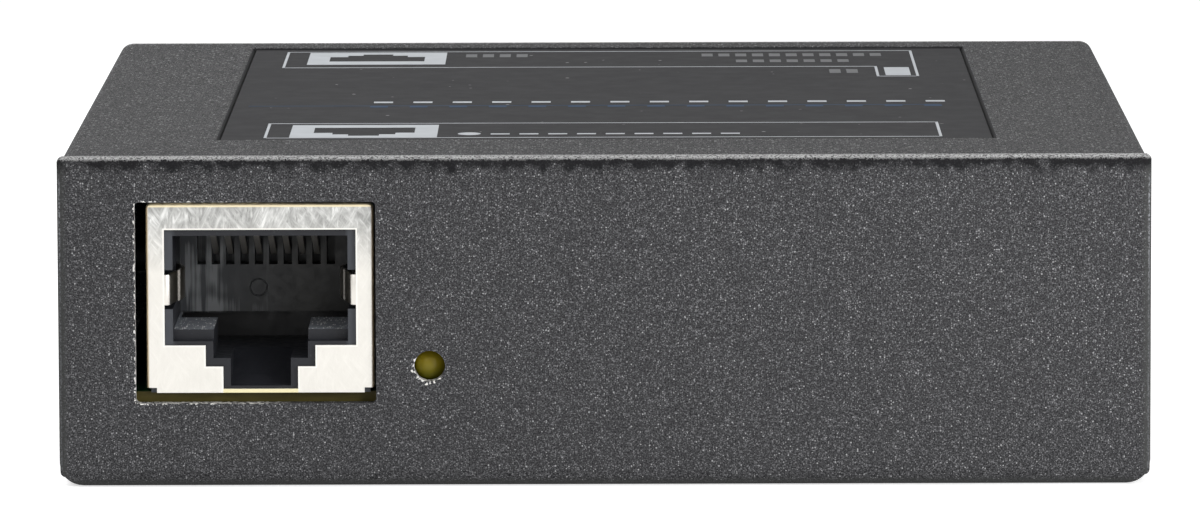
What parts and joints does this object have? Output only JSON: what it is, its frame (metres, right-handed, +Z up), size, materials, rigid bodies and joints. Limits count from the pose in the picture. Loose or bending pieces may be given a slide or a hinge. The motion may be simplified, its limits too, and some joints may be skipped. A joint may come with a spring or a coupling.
{
  "type": "poe splitter",
  "caption": "Small power-over-ethernet splitter in a folded dark metal case, with shielded modular sockets, a round power socket and an indicator light.",
  "frame": {"origin": "middle of the underside of the case", "axes": "+Z up, -Y out of the front panel with the modular socket and the light, +X to the right as seen from the front"},
  "size_m": [0.0762, 0.08, 0.0232],
  "materials": {
    "case_paint": "fine textured charcoal powder coat",
    "label_film": "matt dark grey printed film",
    "black_screw": "black zinc",
    "plated_screw": "zinc plated",
    "standoff_steel": "zinc plated",
    "board_laminate": "solder mask",
    "tinned_shield": "bright tin plate, lightly brushed",
    "socket_plastic": "moulded black resin",
    "gold_contact": "gold flash",
    "nickel_terminal": "nickel plated",
    "indicator_lens": "diffused amber lens, unlit",
    "chip_resin": "moulded epoxy",
    "ceramic_chip": "fired ceramic",
    "ferrite": "ground ferrite",
    "bobbin_plastic": "moulded phenolic",
    "winding_tape": "polyester tape",
    "capacitor_sleeve": "shrink sleeve"
  },
  "bodies": {
    "root": {"base_tray": "case_paint", "board_screws": "plated_screw", "board_standoffs": "standoff_steel", "bridge_rectifiers": "chip_resin", "chip_components": "ceramic_chip", "circuit_board": "board_laminate", "cover_screws": "black_screw", "dc_jack_housing": "socket_plastic", "dc_jack_pin": "nickel_terminal", "dc_jack_spring": "nickel_terminal", "front_jack_contact_1": "gold_contact", "front_jack_contact_2": "gold_contact", "front_jack_contact_3": "gold_contact", "front_jack_contact_4": "gold_contact", "front_jack_contact_5": "gold_contact", "front_jack_contact_6": "gold_contact", "front_jack_contact_7": "gold_contact", "front_jack_contact_8": "gold_contact", "front_jack_housing": "socket_plastic", "front_jack_insert": "socket_plastic", "front_jack_shield": "tinned_shield", "input_capacitor": "capacitor_sleeve", "label_film": "label_film", "lan_magnetics": "chip_resin", "led_leads": "nickel_terminal", "led_lens": "indicator_lens", "optocoupler": "chip_resin", "output_capacitor": "capacitor_sleeve", "output_choke": "ferrite", "output_rectifier": "chip_resin", "pd_controller": "chip_resin", "rear_jack_contact_1": "gold_contact", "rear_jack_contact_2": "gold_contact", "rear_jack_contact_3": "gold_contact", "rear_jack_contact_4": "gold_contact", "rear_jack_contact_5": "gold_contact", "rear_jack_contact_6": "gold_contact", "rear_jack_contact_7": "gold_contact", "rear_jack_contact_8": "gold_contact", "rear_jack_housing": "socket_plastic", "rear_jack_insert": "socket_plastic", "rear_jack_shield": "tinned_shield", "safety_capacitor": "ceramic_chip", "switching_transistor": "chip_resin", "top_cover": "case_paint", "transformer_bobbin": "bobbin_plastic", "transformer_core_front": "ferrite", "transformer_core_rear": "ferrite", "transformer_winding": "winding_tape"}
  },
  "joints": []
}
